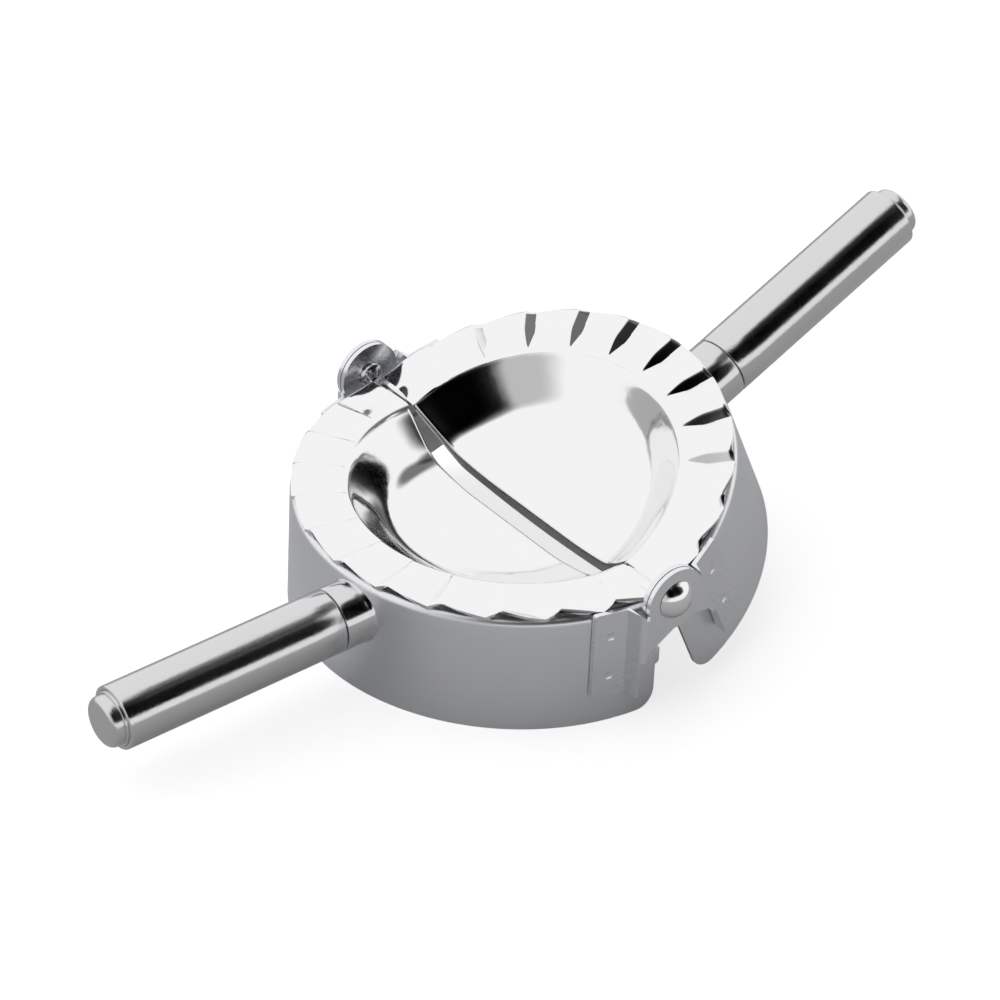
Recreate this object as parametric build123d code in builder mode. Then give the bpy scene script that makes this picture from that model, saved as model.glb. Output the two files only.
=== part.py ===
from build123d import *
import os
from math import cos, radians, sin, sqrt

os.makedirs("parts", exist_ok=True)

# A folding press of pressed stainless steel: two equal halves, each a pleated and
# bowled plate on a half-ring skirt, riveted together at two ears on the split line.
# One half is modelled open towards +X, with its hinge line along Y over the origin
# and its skirt standing on z = 0. The left half is that half turned about Z, and
# the right half is that half folded up a little about the rivets. Millimetres.

# ---- pressed plate ----
rim_inset = 0.05           # the rim lies inside the skirt's outer face by this
rim_height = 27.65         # middle level of the pleated rim above the table
rim_width = 11.25          # from the bowl's mouth out to the rim's edge
sheet = 0.7                # thickness of the pressed sheet
pleats_per_turn = 24
pleat_height = 1.5         # from valley to crest
riser_angle = 2.4          # steep side of a pleat, in degrees round the rim
crest_angle = 1.6          # rounded top of a pleat, in degrees round the rim
crest_easing = 0.12        # share of the height that the rounded top gives up
crest_inset = 0.35         # a crest's outer end lies inside the valleys' by this
curl_width = 1.3           # outermost band, where the crests bend down
curl_drop = 0.5            # how far a crest bends down there
valley_drop = 0.1          # and a valley
crease_inset = 1.45        # from the bowl's mouth out to where the creases begin
first_crease_inset = 3.3   # the crease beside the rise at one hinge is shorter
crease_run = 4.5           # length over which a pleat grows to its full height
halves_gap = 0.25          # each half stays this far from the split plane

# ---- bowl ----
bowl_depth = 10.0
bowl_apron_width = 10.0    # from the flat floor's edge out to the knee
bowl_wall_width = 8.7      # from the knee, where the floor turns up, to the mouth
knee_depth = 8.3
floor_bend_radius = 60.0
knee_bend_radius = 14.0
lip_bend_radius = 2.5
lip_width = 1.4            # level ring between the bowl's mouth and the pleats
joint_inset = 0.25         # from that ring's outer edge in to the joint with the bowl

# ---- turned-down flange on the split edge ----
flange_depth = 14.8        # lower edge below the rim at the middle
flange_knee_reach = 23.5   # where the lower edge turns up, along Y
flange_knee_depth = 12.9
flange_end_inset = 0.3     # from the bowl's mouth in to the flange's end
flange_end_depth = 2.2
flange_bend_radius = 7.0
flange_floor_bend_radius = 150.0

# ---- skirt ----
skirt_radius = 45.0        # outer radius
skirt_wall = 0.8
skirt_gap = 0.1            # between its top and the underside of the valleys
skirt_bend_radius = 1.6    # outer radius of the top, bent inwards
skirt_curl = 1.0           # flat end of that bend, pointing inwards
skirt_corner = 4.0         # rounded lower corner at the split
skirt_end_gap = 0.35       # from the skirt's end edge to the split plane
tongue_bottom = 8.7        # locating tongue, inside the wall at one end
tongue_height = 4.1
tongue_reach = 1.6         # past the split plane
tongue_length = 6.0        # on the skirt's own side
tongue_wall = 0.7
tongue_clearance = 0.25    # to the other half's skirt

# ---- hinge ----
closed_gap = 0.35          # between the two rims when the press is shut
ear_radius = 6.8
ear_clearance = 0.25       # from an ear to the other half's bracket
ear_gap = 0.2              # between the two ears on a rivet
bracket_wall = 1.0
ear_standoff = 2.2         # from the skirt's outer face to the inner ear's inner face
weld_gap = 0.02            # between a welded piece and the skirt
weld_plate_angle = 15.0    # from the split plane to the weld plate's middle
weld_plate_width = 7.6
weld_plate_height = 19.9
bracket_top_drop = 1.05    # from the rivet's centre down to the bracket's top
strap_height = 11.4        # depth of the bent strap where it leaves the plate
strap_elbow = 6.2          # where its lower edge turns towards the ear
strap_elbow_drop = 10.4    # that corner, below the rivet's centre
strap_shoulder = 0.9       # the plate's near edge, past the ear's clearance
notch_width = 1.0
notch_depth = 1.2
inner_bend_radius = 0.3
bracket_corner = 0.6
weld_spot_radius = 1.0
weld_spot_depth = 0.3
upper_spot_drop = 5.7      # from the bracket's top
lower_spot_drop = 15.1

# ---- rivets ----
rivet_radius = 2.0
running_clearance = 0.05   # in the ears of the right half
head_radius = 4.1
head_height = 2.4
head_gap = 0.08            # from the head, and from the tail, to the ear beside it
tail_radius = 2.6
tail_height = 0.8
tail_taper = 0.4
tail_bore = 1.2
tail_bore_depth = 2.2

# ---- handles ----
handle_radius = 6.64
handle_offset = 4.6        # from the middle plane to the handle's root
handle_height = 17.8       # the root above the table
handle_skew = 3.2          # degrees, towards the middle plane
handle_droop = 3.5         # degrees, down
ferrule_length = 5.0       # along the axis, from the skirt to the joint line
ferrule_bore = 4.6
ferrule_root = 4.0         # reaches inwards before it is cut to the skirt
joint_gap = 0.25           # dark line between ferrule and tube
joint_chamfer = 0.3
spigot_length = 8.0
spigot_clearance = 0.05
tube_wall = 0.8
handle_length = 55.3       # from the skirt to the tube's end
tube_edge = 0.4
plug_collar = 0.5
plug_radius = 5.3
plug_length = 3.0          # past the tube's end
plug_round = 1.5
plug_depth = 7.0           # inside the tube

# ---- rest position ----
open_angle = 23.6          # how far the right half is folded up from flat

rim_radius = skirt_radius - rim_inset
bowl_mouth_radius = rim_radius - rim_width
bowl_knee_radius = bowl_mouth_radius - bowl_wall_width
bowl_floor_radius = bowl_knee_radius - bowl_apron_width
land_end = bowl_mouth_radius + lip_width
flange_reach = bowl_mouth_radius - flange_end_inset
pin_height = rim_height + closed_gap / 2
pitch = 360 / pleats_per_turn
valley_height = rim_height - pleat_height / 2
valley_underside = valley_height - sheet
inner_ear_face = skirt_radius + ear_standoff
skirt_top = valley_underside - skirt_gap
outer_ear_face = inner_ear_face + bracket_wall + ear_gap
bracket_top = pin_height - bracket_top_drop
tube_bore = handle_radius - tube_wall


# ---- pressed plate ----

def rim_section(angle, level, start):
    """Outline of the pleated rim in the radial plane at an angle.

    level is the height there, from 0 in a valley to 1 on a crest.
    """
    lift = valley_height + level * pleat_height - rim_height
    end = rim_radius - level * crest_inset
    top = [
        (land_end - joint_inset, 0),
        (start, 0),
        (start + crease_run, lift),
        (end - curl_width, lift),
        (end, lift - valley_drop - level * (curl_drop - valley_drop)),
    ]
    under = [(r, z - sheet) for r, z in reversed(top)]
    radial = Plane(
        origin=(0, 0, rim_height),
        x_dir=(cos(radians(angle)), sin(radians(angle)), 0),
        z_dir=(sin(radians(angle)), -cos(radians(angle)), 0),
    )
    with BuildSketch(radial) as section:
        with BuildLine():
            Polyline(*top, *under, close=True)
        make_face()
    return section.sketch


def pleat_stations():
    """Angle, level and crease start of each section, past both ends of the half."""
    stations = []
    count = pleats_per_turn // 2
    crest_level = 1 - crest_easing
    for index in range(count + 1):
        rise = -90 + index * pitch
        inset = first_crease_inset if index < 2 else crease_inset
        start = bowl_mouth_radius + inset
        crest = rise + riser_angle / 2
        stations.append((rise - riser_angle / 2, 0, start))
        stations.append((crest, crest_level, start))
        stations.append((crest + crest_angle, crest_level, start))
    return stations


def bowl_profile():
    """The bowl's upper surface from the middle out to the rim, as r and height."""
    return [
        (0, -bowl_depth),
        (bowl_floor_radius, -bowl_depth),
        (bowl_knee_radius, -knee_depth),
        (bowl_mouth_radius, 0),
        (land_end, 0),
    ]


def bowl_surface():
    """The pressed bowl with its level land, trimmed to meet the pleated rim."""
    radial = Plane(origin=(0, 0, rim_height), x_dir=(1, 0, 0), z_dir=(0, -1, 0))
    with BuildPart() as bowl:
        with BuildSketch(radial):
            with BuildLine():
                top = FilletPolyline(
                    *bowl_profile(),
                    radius=[floor_bend_radius, knee_bend_radius, lip_bend_radius],
                )
                offset(top, amount=sheet, side=Side.RIGHT, closed=True)
            make_face()
        revolve(axis=Axis.Z, revolution_arc=360)
        # the rim is ruled between its sections, so the bowl is cut to the same facets
        with BuildSketch(Plane.XY.offset(rim_height)):
            with BuildLine():
                Polyline(*rim_joint_corners(), close=True)
            make_face()
        extrude(amount=2 * bowl_depth, both=True, mode=Mode.INTERSECT)
    return bowl


def rim_joint_corners():
    """Corners of the joint between bowl and rim, closed behind the split plane."""
    joint = land_end - joint_inset
    corners = [
        (joint * cos(radians(angle)), joint * sin(radians(angle)))
        for angle, *_ in pleat_stations()
    ]
    behind = min(corners)[0] - sheet
    return [*corners, (behind, corners[-1][1]), (behind, corners[0][1])]


def there_and_back(points):
    """The points mirrored to the negative side, followed by the points themselves."""
    return [(-y, z) for y, z in reversed(points)] + points


def split_flange():
    """Outline of the flange in the split plane, from the sheet's middle down."""
    wall_foot = (bowl_knee_radius, -knee_depth - sheet / 2)
    wall_head = (bowl_mouth_radius, -sheet / 2)
    knee = (flange_knee_reach, -flange_knee_depth)
    reach = (flange_reach, -flange_end_depth)
    below = -flange_depth - sheet
    plane = Plane(origin=(halves_gap, 0, rim_height), x_dir=(0, 1, 0), z_dir=(1, 0, 0))
    with BuildSketch(plane) as flange:
        # everything below the middle of the sheet
        floor_edge = (bowl_floor_radius, -bowl_depth - sheet / 2)
        bends = [knee_bend_radius, floor_bend_radius]
        with BuildLine():
            under = FilletPolyline(
                *there_and_back([floor_edge, wall_foot, wall_head]),
                radius=[*bends, *reversed(bends)],
            )
            Polyline(
                under @ 1,
                (bowl_mouth_radius, below),
                (-bowl_mouth_radius, below),
                under @ 0,
            )
        make_face()
        # and above the flange's own lower edge
        with BuildLine():
            lower = FilletPolyline(
                *there_and_back([knee, reach])[:2],
                (0, -flange_depth),
                knee,
                reach,
                radius=[
                    flange_bend_radius,
                    flange_floor_bend_radius,
                    flange_bend_radius,
                ],
            )
            Polyline(lower @ 1, (flange_reach, 0), (-flange_reach, 0), lower @ 0)
        make_face(mode=Mode.INTERSECT)
    return flange


def pressed_half_plate():
    with BuildPart() as plate:
        # pleated rim, ruled between its radial sections
        loft(sections=[rim_section(*station) for station in pleat_stations()], ruled=True)
        add(bowl_surface().part)
        # keep the half, clear of the split plane
        split(bisect_by=Plane.YZ.offset(halves_gap))
        extrude(split_flange().sketch, amount=sheet)
    return plate


# ---- skirt ----

def half_skirt():
    end = skirt_end_gap
    with BuildPart() as skirt:
        # half a ring, its top bent inwards
        with BuildSketch(Plane.XZ):
            with BuildLine():
                shell = FilletPolyline(
                    (skirt_radius, 0),
                    (skirt_radius, skirt_top),
                    (skirt_radius - skirt_bend_radius - skirt_curl, skirt_top),
                    radius=skirt_bend_radius,
                )
                offset(shell, amount=skirt_wall, side=Side.LEFT, closed=True)
            make_face()
        revolve(axis=Axis.Z, revolution_arc=360)
        split(bisect_by=Plane.YZ.offset(end))
        # rounded lower corners at the split
        with BuildSketch(Plane.XZ):
            with Locations((end, 0)):
                Rectangle(skirt_corner, skirt_corner, align=(Align.MIN, Align.MIN))
            with Locations((end + skirt_corner, skirt_corner)):
                Circle(skirt_corner, mode=Mode.SUBTRACT)
        extrude(amount=2 * skirt_radius, both=True, mode=Mode.SUBTRACT)
        # locating tongue, on the inside of the wall at one end
        face = skirt_radius - skirt_wall - tongue_clearance
        with Locations((-tongue_reach, face, tongue_bottom)):
            Box(
                tongue_reach + tongue_length,
                tongue_wall,
                tongue_height,
                align=(Align.MIN, Align.MAX, Align.MIN),
            )
    return skirt


# ---- hinge brackets ----

def weld_direction():
    """Unit vector out of the weld plate's face."""
    lean = radians(weld_plate_angle)
    return Vector(sin(lean), -cos(lean), 0)


def bracket_plan(ear_face):
    """The bent strip seen from above: weld plate, joggle and ear."""
    out = weld_direction()
    along = Vector(out.Y, -out.X, 0)
    middle = out * (skirt_radius + weld_gap)
    far_end = middle - along * (weld_plate_width / 2)
    near_end = middle + along * (weld_plate_width / 2)
    ear_start = Vector(ear_radius + ear_clearance, -ear_face, 0)
    ear_end = Vector(-ear_radius - bracket_wall, -ear_face, 0)
    with BuildSketch(Plane.XY) as plan:
        with BuildLine():
            strip = FilletPolyline(
                far_end,
                near_end,
                ear_start,
                ear_end,
                radius=[bracket_wall + inner_bend_radius, inner_bend_radius],
            )
            offset(strip, amount=bracket_wall, side=Side.LEFT, closed=True)
        make_face()
    return plan


def bracket_outline(hole_radius):
    """The bracket seen from the front: round ear, strap and weld plate."""
    lean = radians(weld_plate_angle)
    far = (skirt_radius + weld_gap) * sin(lean) + weld_plate_width / 2 * cos(lean)
    near = ear_radius + ear_clearance + strap_shoulder
    notch = ear_radius + ear_clearance
    top = -bracket_top_drop
    bottom = top - weld_plate_height
    elbow = (strap_elbow, -strap_elbow_drop)
    front = Plane(origin=(0, 0, pin_height), x_dir=(1, 0, 0), z_dir=(0, -1, 0))
    with BuildSketch(front) as outline:
        with BuildLine():
            Polyline(
                (far, top),
                (notch + notch_width, top),
                (notch, top - notch_depth),
                (0, top - notch_depth),
                (0, -ear_radius),
                elbow,
                (notch, top - strap_height),
                (near, top - strap_height),
                (near, bottom),
                (far, bottom),
                close=True,
            )
        make_face()
        far_corners = outline.vertices().group_by(Axis.X)[-1]
        fillet(far_corners, radius=bracket_corner)
        Circle(ear_radius)
        Circle(hole_radius, mode=Mode.SUBTRACT)
    return outline


def hinge_bracket(ear_face, hole_radius):
    out = weld_direction()
    spot_ball = (weld_spot_radius**2 + weld_spot_depth**2) / (2 * weld_spot_depth)
    spot = out * (skirt_radius + weld_gap + bracket_wall + spot_ball - weld_spot_depth)
    with BuildPart() as bracket:
        extrude(bracket_plan(ear_face).sketch, amount=pin_height + 2 * ear_radius)
        extrude(
            bracket_outline(hole_radius).sketch,
            amount=2 * skirt_radius,
            mode=Mode.INTERSECT,
        )
        # spot-weld dimples in the weld plate
        for drop in (upper_spot_drop, lower_spot_drop):
            with Locations((spot.X, spot.Y, bracket_top - drop)):
                Sphere(spot_ball, mode=Mode.SUBTRACT)
    return bracket


# ---- rivets ----

def hinge_rivet():
    """Dome-headed rivet of the front hinge, its flared tail inside."""
    head = outer_ear_face + bracket_wall + head_gap
    tail = inner_ear_face - head_gap
    end = tail - tail_height
    dome = (head_radius**2 + head_height**2) / (2 * head_height)
    outwards = Plane(origin=(0, 0, pin_height), x_dir=(1, 0, 0), z_dir=(0, 0, -1))
    with BuildPart() as rivet:
        with BuildSketch(outwards):
            with BuildLine():
                Polyline(
                    (0, head + head_height),
                    (0, end + tail_bore_depth),
                    (tail_bore, end + tail_bore_depth),
                    (tail_bore, end),
                    (tail_radius - tail_taper, end),
                    (tail_radius, end + tail_taper),
                    (tail_radius, tail),
                    (rivet_radius, tail),
                    (rivet_radius, head),
                    (head_radius, head),
                )
                RadiusArc((head_radius, head), (0, head + head_height), -dome)
            make_face()
        revolve(axis=Axis((0, 0, pin_height), (0, 1, 0)), revolution_arc=360)
    return rivet


# ---- handles ----

def handle_plane(side, distance):
    """Plane across the handle's axis, at a distance out from the skirt.

    side is -1 where the root lies before the middle plane and 1 where it lies behind.
    """
    root_y = side * handle_offset
    root_x = sqrt(skirt_radius**2 - root_y**2)
    droop = radians(handle_droop)
    heading = radians(-side * handle_skew)
    axis = (cos(droop) * cos(heading), cos(droop) * sin(heading), -sin(droop))
    return Plane(origin=(root_x, root_y, handle_height), z_dir=axis).offset(distance)


def handle_ferrule(side):
    reach = ferrule_root + ferrule_length
    with BuildPart() as ferrule:
        with BuildSketch(handle_plane(side, -ferrule_root)):
            Circle(handle_radius)
        extrude(amount=reach)
        joint_face = ferrule.faces().sort_by(Axis.X)[-1]
        chamfer(joint_face.edges(), length=joint_chamfer)
        with BuildSketch(handle_plane(side, ferrule_length - joint_chamfer)):
            Circle(tube_bore - spigot_clearance)
        extrude(amount=joint_chamfer + spigot_length)
        with BuildSketch(handle_plane(side, -ferrule_root)):
            Circle(ferrule_bore)
        extrude(amount=reach + spigot_length, mode=Mode.SUBTRACT)
        Cylinder(skirt_radius + weld_gap, 4 * pin_height, mode=Mode.SUBTRACT)
    return ferrule


def handle_tube(side):
    start = ferrule_length + joint_gap
    with BuildPart() as tube:
        with BuildSketch(handle_plane(side, start)):
            Circle(handle_radius)
        extrude(amount=handle_length - start)
        ends = tube.faces().filter_by(GeomType.PLANE).sort_by(Axis.X)
        chamfer(ends[0].edges(), length=joint_chamfer)
        chamfer(ends[-1].edges(), length=tube_edge)
        with BuildSketch(handle_plane(side, start)):
            Circle(tube_bore)
        extrude(amount=handle_length - start, mode=Mode.SUBTRACT)
    return tube


def end_plug(side):
    with BuildPart() as plug:
        with BuildSketch(handle_plane(side, handle_length - plug_depth)):
            Circle(tube_bore - spigot_clearance)
        extrude(amount=plug_depth + plug_collar)
        with BuildSketch(handle_plane(side, handle_length + plug_collar)):
            Circle(plug_radius)
        extrude(amount=plug_length - plug_collar)
        fillet(plug.faces().sort_by(Axis.X)[-1].edges(), radius=plug_round)
    return plug


# ---- the two halves ----

pleated_plate = pressed_half_plate()
skirt = half_skirt()


def half_pieces(side, ear_hole):
    """All the pieces of a half that is open towards +X; the pressings are alike."""
    with BuildPart() as far_bracket:
        add(hinge_bracket(outer_ear_face, ear_hole).part)
        mirror(about=Plane.XZ, mode=Mode.REPLACE)
    return {
        "pleated_plate": pleated_plate,
        "skirt": skirt,
        "near_bracket": hinge_bracket(inner_ear_face, ear_hole),
        "far_bracket": far_bracket,
        "handle_ferrule": handle_ferrule(side),
        "handle_tube": handle_tube(side),
        "end_plug": end_plug(side),
    }


turned = Location((0, 0, 0), (0, 0, 180))
to_pin = Location((0, 0, pin_height))
folded = to_pin * Location((0, 0, 0), (0, -open_angle, 0)) * to_pin.inverse()
near_end = {"left": "rear", "right": "front"}
far_end = {"left": "front", "right": "rear"}

placed = {"front_rivet": (hinge_rivet(), Location()), "rear_rivet": (hinge_rivet(), turned)}
for half, side, ear_hole, place in (
    ("left", 1, rivet_radius, turned),
    ("right", -1, rivet_radius + running_clearance, folded),
):
    for piece, built in half_pieces(side, ear_hole).items():
        name = f"{half}_{piece}"
        name = name.replace("near", near_end[half]).replace("far", far_end[half])
        placed[name] = (built, place)

# ---- origin: under the middle of the whole press, on the table ----

bounds = Compound([place * built.part for built, place in placed.values()]).bounding_box()
to_origin = Location((-bounds.center().X, -bounds.center().Y, -bounds.min.Z))

for name, (built, place) in placed.items():
    with BuildPart() as finished:
        with Locations(to_origin * place):
            add(built.part)
    finished.part.label = name
    export_step(finished.part, f"parts/{name}.step")

print("rivet centre line through", (to_origin * to_pin).position)
print("press spans", bounds.size)
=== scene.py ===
"""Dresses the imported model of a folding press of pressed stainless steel.

Every piece is made in metres in the model's own frame. The sizes of the panel start
from the CAD part's. The creases, the bowl's lip and the feet of the handle roots are
finer than there. One half is made open towards +X, with its hinge line along Y
over the origin, and is then placed as the left and the right half.
"""

from math import acos, asin, cos, pi, radians, sin, sqrt

import bmesh
import bpy
from bpy.props import FloatProperty, FloatVectorProperty, IntProperty, PointerProperty
from mathutils import Matrix, Vector


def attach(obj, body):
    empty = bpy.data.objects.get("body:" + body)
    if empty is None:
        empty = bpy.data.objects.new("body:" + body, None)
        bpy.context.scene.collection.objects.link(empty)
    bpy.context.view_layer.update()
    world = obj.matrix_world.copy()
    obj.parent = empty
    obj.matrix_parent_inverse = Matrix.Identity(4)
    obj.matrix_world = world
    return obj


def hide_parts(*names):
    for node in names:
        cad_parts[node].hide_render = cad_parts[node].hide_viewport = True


bl_info = {
    "name": "Folding press looks",
    "version": (1, 0, 0),
    "blender": (4, 5, 0),
    "location": "3D View > Sidebar > Press",
    "description": "Makes the pressed, satin and brushed steel pieces of a folding press",
    "category": "Add Mesh",
}

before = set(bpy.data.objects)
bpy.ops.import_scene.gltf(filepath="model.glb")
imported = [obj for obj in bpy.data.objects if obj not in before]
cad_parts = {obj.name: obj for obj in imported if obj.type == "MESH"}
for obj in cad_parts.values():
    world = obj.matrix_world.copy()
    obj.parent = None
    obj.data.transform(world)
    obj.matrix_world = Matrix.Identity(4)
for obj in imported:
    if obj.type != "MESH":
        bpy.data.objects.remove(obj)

MM = 0.001
HALVES = ("left", "right")


# ---- sizes ----

def length(name, description, millimetres):
    return FloatProperty(
        name=name,
        description=description,
        default=millimetres * MM,
        unit="LENGTH",
        precision=5,
    )


def angle(name, description, degrees):
    return FloatProperty(
        name=name, description=description, default=radians(degrees), unit="ROTATION"
    )


def share(name, description, value):
    return FloatProperty(name=name, description=description, default=value)


class PlateSizes(bpy.types.PropertyGroup):
    pleats: IntProperty(name="Pleats", description="Pleats in a full turn", default=24)
    rim_radius: length("Rim radius", "Middle of the press to the pleated edge", 44.95)
    rim_height: length("Rim height", "Middle level of the pleats over the table", 27.65)
    pleat_height: length("Pleat height", "From valley to crest", 1.62)
    riser: angle("Riser", "Steep side of a pleat, round the rim", 3.1)
    riser_tip: angle("Riser tip", "What is left of the riser where a crease begins", 0.3)
    crest: angle("Crest", "Rounded top of a pleat, round the rim", 1.9)
    valley_fold: angle("Valley fold", "Tight fold along a crease", 0.3)
    crest_softness: share("Crest softness", "Share of the height rounded off", 0.5)
    crease_inset: length("Crease inset", "Bowl's mouth to the creases", -0.2)
    first_inset: length("First crease inset", "The same beside one hinge", 1.5)
    crease_run: length("Crease run", "Over which a pleat grows to full height", 6.6)
    curl: length("Curl", "Outermost band, bent down", 1.3)
    crest_curl: length("Crest curl", "How far a crest bends down there", 0.5)
    valley_curl: length("Valley curl", "How far a valley bends down there", 0.1)
    crest_inset: length("Crest inset", "Crest's outer end inside the valleys'", 0.35)
    mouth: length("Bowl mouth", "Radius where the wall would meet the rim", 33.7)
    land_end: length("Land end", "Outer radius of the level ring", 35.1)
    knee: length("Bowl knee", "Radius where floor and wall would meet", 25.0)
    knee_depth: length("Knee depth", "Below the rim", 8.3)
    floor: length("Bowl floor", "Radius of the flat floor", 15.0)
    depth: length("Bowl depth", "Below the rim", 10.0)
    lip_round: length("Lip rounding", "At the bowl's mouth", 2.0)
    knee_round: length("Knee rounding", "At the bowl's knee", 3.2)
    floor_round: length("Floor rounding", "At the floor's edge", 0.85)
    gap: length("Split gap", "From the split plane to the sheet", 0.25)
    split_bend: length("Split bend", "Outer radius of the turned-down edge", 0.95)
    flange_reach: length("Flange reach", "Along the split, from the middle", 33.4)
    flange_depth: length("Flange depth", "Below the rim at the middle", 14.8)
    flange_knee: length("Flange knee", "Where the lower edge turns up", 23.5)
    flange_knee_depth: length("Flange knee depth", "Below the rim", 12.9)
    flange_end_depth: length("Flange end depth", "Below the rim", 2.2)
    flange_round: length("Flange rounding", "At the flange's knee", 2.3)
    sheet: length("Sheet", "Thickness of the sheet", 0.7)


class SkirtSizes(bpy.types.PropertyGroup):
    radius: length("Radius", "Outer radius", 45.0)
    wall: length("Wall", "Thickness", 0.8)
    top: length("Top", "Height of the skirt", 26.1)
    bend: length("Bend", "Outer radius of the top", 1.6)
    curl: length("Curl", "Flat end of the bend", 1.0)
    corner: length("Corner", "Rounded lower corner at the split", 4.0)
    end_gap: length("End gap", "From the split plane to the skirt's end", 0.35)
    tongue_bottom: length("Tongue bottom", "Height over the table", 8.7)
    tongue_height: length("Tongue height", "Its width as a strip", 4.1)
    tongue_reach: length("Tongue reach", "Past the split plane", 1.6)
    tongue_length: length("Tongue length", "On the skirt's own side", 6.0)
    tongue_wall: length("Tongue wall", "Thickness", 0.7)
    tongue_gap: length("Tongue gap", "To the other half's skirt", 0.25)


class HingeSizes(bpy.types.PropertyGroup):
    pin_height: length("Pin height", "Rivet line over the table", 27.825)
    pin_x: length("Pin place", "Rivet line from the middle of the press", 1.03501)
    open_angle: angle("Open angle", "The right half folded up from flat", 23.6)
    inner_face: length("Inner ear face", "From the middle of the press", 47.2)
    outer_face: length("Outer ear face", "From the middle of the press", 48.4)
    ear_wall: length("Ear wall", "Thickness", 1.0)
    shank: length("Shank", "Rivet's radius", 2.0)
    head: length("Head", "Radius of the rivet's dome", 4.1)
    dome: length("Dome", "Height of the rivet's dome", 2.4)
    head_gap: length("Head gap", "From head or tail to the ear", 0.08)
    tail: length("Tail", "Radius of the flared tail", 2.6)
    tail_height: length("Tail height", "Along the rivet", 0.8)
    tail_taper: length("Tail taper", "On the tail's edge", 0.4)
    tail_bore: length("Tail bore", "Radius of the tail's hole", 1.2)
    tail_bore_depth: length("Tail bore depth", "Along the rivet", 2.2)
    edge: length("Edge", "Rounding of the brackets' edges", 0.16)


class HandleSizes(bpy.types.PropertyGroup):
    radius: length("Radius", "Tube and ferrule", 6.64)
    offset: length("Offset", "Middle plane to the handle's root", 4.6)
    height: length("Height", "Root over the table", 17.8)
    skew: angle("Skew", "Towards the middle plane", 3.2)
    droop: angle("Droop", "Down", 3.5)
    ferrule: length("Ferrule", "Skirt to the joint line, along the axis", 5.0)
    ferrule_bore: length("Ferrule bore", "Radius", 4.6)
    flare: length("Flare", "Ferrule's foot spreads this far on the skirt", 0.2)
    flare_run: length("Flare run", "Over which it spreads", 0.9)
    skirt_face: length("Skirt face", "Radius of the face that it stands on", 45.02)
    joint_gap: length("Joint gap", "Between ferrule and tube", 0.25)
    joint_round: length("Joint rounding", "On both edges", 0.3)
    spigot: length("Spigot", "Reach inside the tube", 8.0)
    fit_gap: length("Fit gap", "Round what stands in the tube", 0.05)
    wall: length("Wall", "Tube wall", 0.8)
    end: length("End", "From the skirt to the tube's end", 55.3)
    end_round: length("End rounding", "On the tube's outer edge", 0.45)
    collar: length("Collar", "Step of the end plug", 0.5)
    plug: length("Plug", "Radius of its boss", 5.3)
    plug_length: length("Plug length", "Past the tube's end", 3.0)
    plug_round: length("Plug rounding", "On the boss", 1.5)
    plug_depth: length("Plug depth", "Inside the tube", 7.0)


class PressLook(bpy.types.PropertyGroup):
    steel: FloatVectorProperty(
        name="Steel",
        description="Colour of the polished sheet",
        subtype="COLOR",
        default=(0.93, 0.93, 0.93),
        min=0,
        max=1,
    )
    satin: FloatVectorProperty(
        name="Satin steel",
        description="Colour of the skirts and brackets",
        subtype="COLOR",
        default=(0.86, 0.87, 0.90),
        min=0,
        max=1,
    )
    brushed: FloatVectorProperty(
        name="Brushed steel",
        description="Colour of the handles",
        subtype="COLOR",
        default=(0.72, 0.72, 0.73),
        min=0,
        max=1,
    )
    floor: FloatVectorProperty(
        name="Floor",
        description="Colour of the studio floor",
        subtype="COLOR",
        default=(0.60, 0.60, 0.60),
        min=0,
        max=1,
    )


SIZES = {
    "press_plate": PlateSizes,
    "press_skirt": SkirtSizes,
    "press_hinge": HingeSizes,
    "press_handle": HandleSizes,
    "press_look": PressLook,
}


# ---- formulas made of nodes ----

class Term:
    """A value in a node tree. Sums and products of terms add their math nodes."""

    def __init__(self, tree, socket):
        self.tree = tree
        self.socket = socket

    def __add__(self, other):
        return worked_out("ADD", self, other)

    def __radd__(self, other):
        return worked_out("ADD", other, self)

    def __sub__(self, other):
        return worked_out("SUBTRACT", self, other)

    def __rsub__(self, other):
        return worked_out("SUBTRACT", other, self)

    def __mul__(self, other):
        return worked_out("MULTIPLY", self, other)

    def __rmul__(self, other):
        return worked_out("MULTIPLY", other, self)

    def __truediv__(self, other):
        return worked_out("DIVIDE", self, other)

    def __rtruediv__(self, other):
        return worked_out("DIVIDE", other, self)

    def __pow__(self, other):
        return worked_out("POWER", self, other)


def plug_in(tree, socket, value):
    if isinstance(value, Term):
        tree.links.new(value.socket, socket)
    elif isinstance(value, bpy.types.NodeSocket):
        tree.links.new(value, socket)
    else:
        socket.default_value = value


def worked_out(operation, *values):
    """The term that a math node gives for these values, one of them a term at least."""
    tree = next(v.tree for v in values if isinstance(v, Term))
    node = tree.nodes.new("ShaderNodeMath")
    node.operation = operation
    for socket, value in zip(node.inputs, values):
        plug_in(tree, socket, value)
    return Term(tree, node.outputs[0])


def stretch(value, start, end, low=0.0, high=1.0, smooth=False):
    """low before start, high after end, and even or smooth between them."""
    tree = value.tree
    node = tree.nodes.new("ShaderNodeMapRange")
    node.clamp = True
    node.interpolation_type = "SMOOTHSTEP" if smooth else "LINEAR"
    for socket, given in zip(node.inputs, (value, start, end, low, high)):
        plug_in(tree, socket, given)
    return Term(tree, node.outputs[0])


def added(tree, kind, inputs=None, **settings):
    """A node with its settings and its named inputs filled in."""
    node = tree.nodes.new(kind)
    for name, value in settings.items():
        setattr(node, name, value)
    for name, value in (inputs or {}).items():
        plug_in(tree, node.inputs[name], value)
    return node


# ---- pressed plate: a node tree ----

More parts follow.
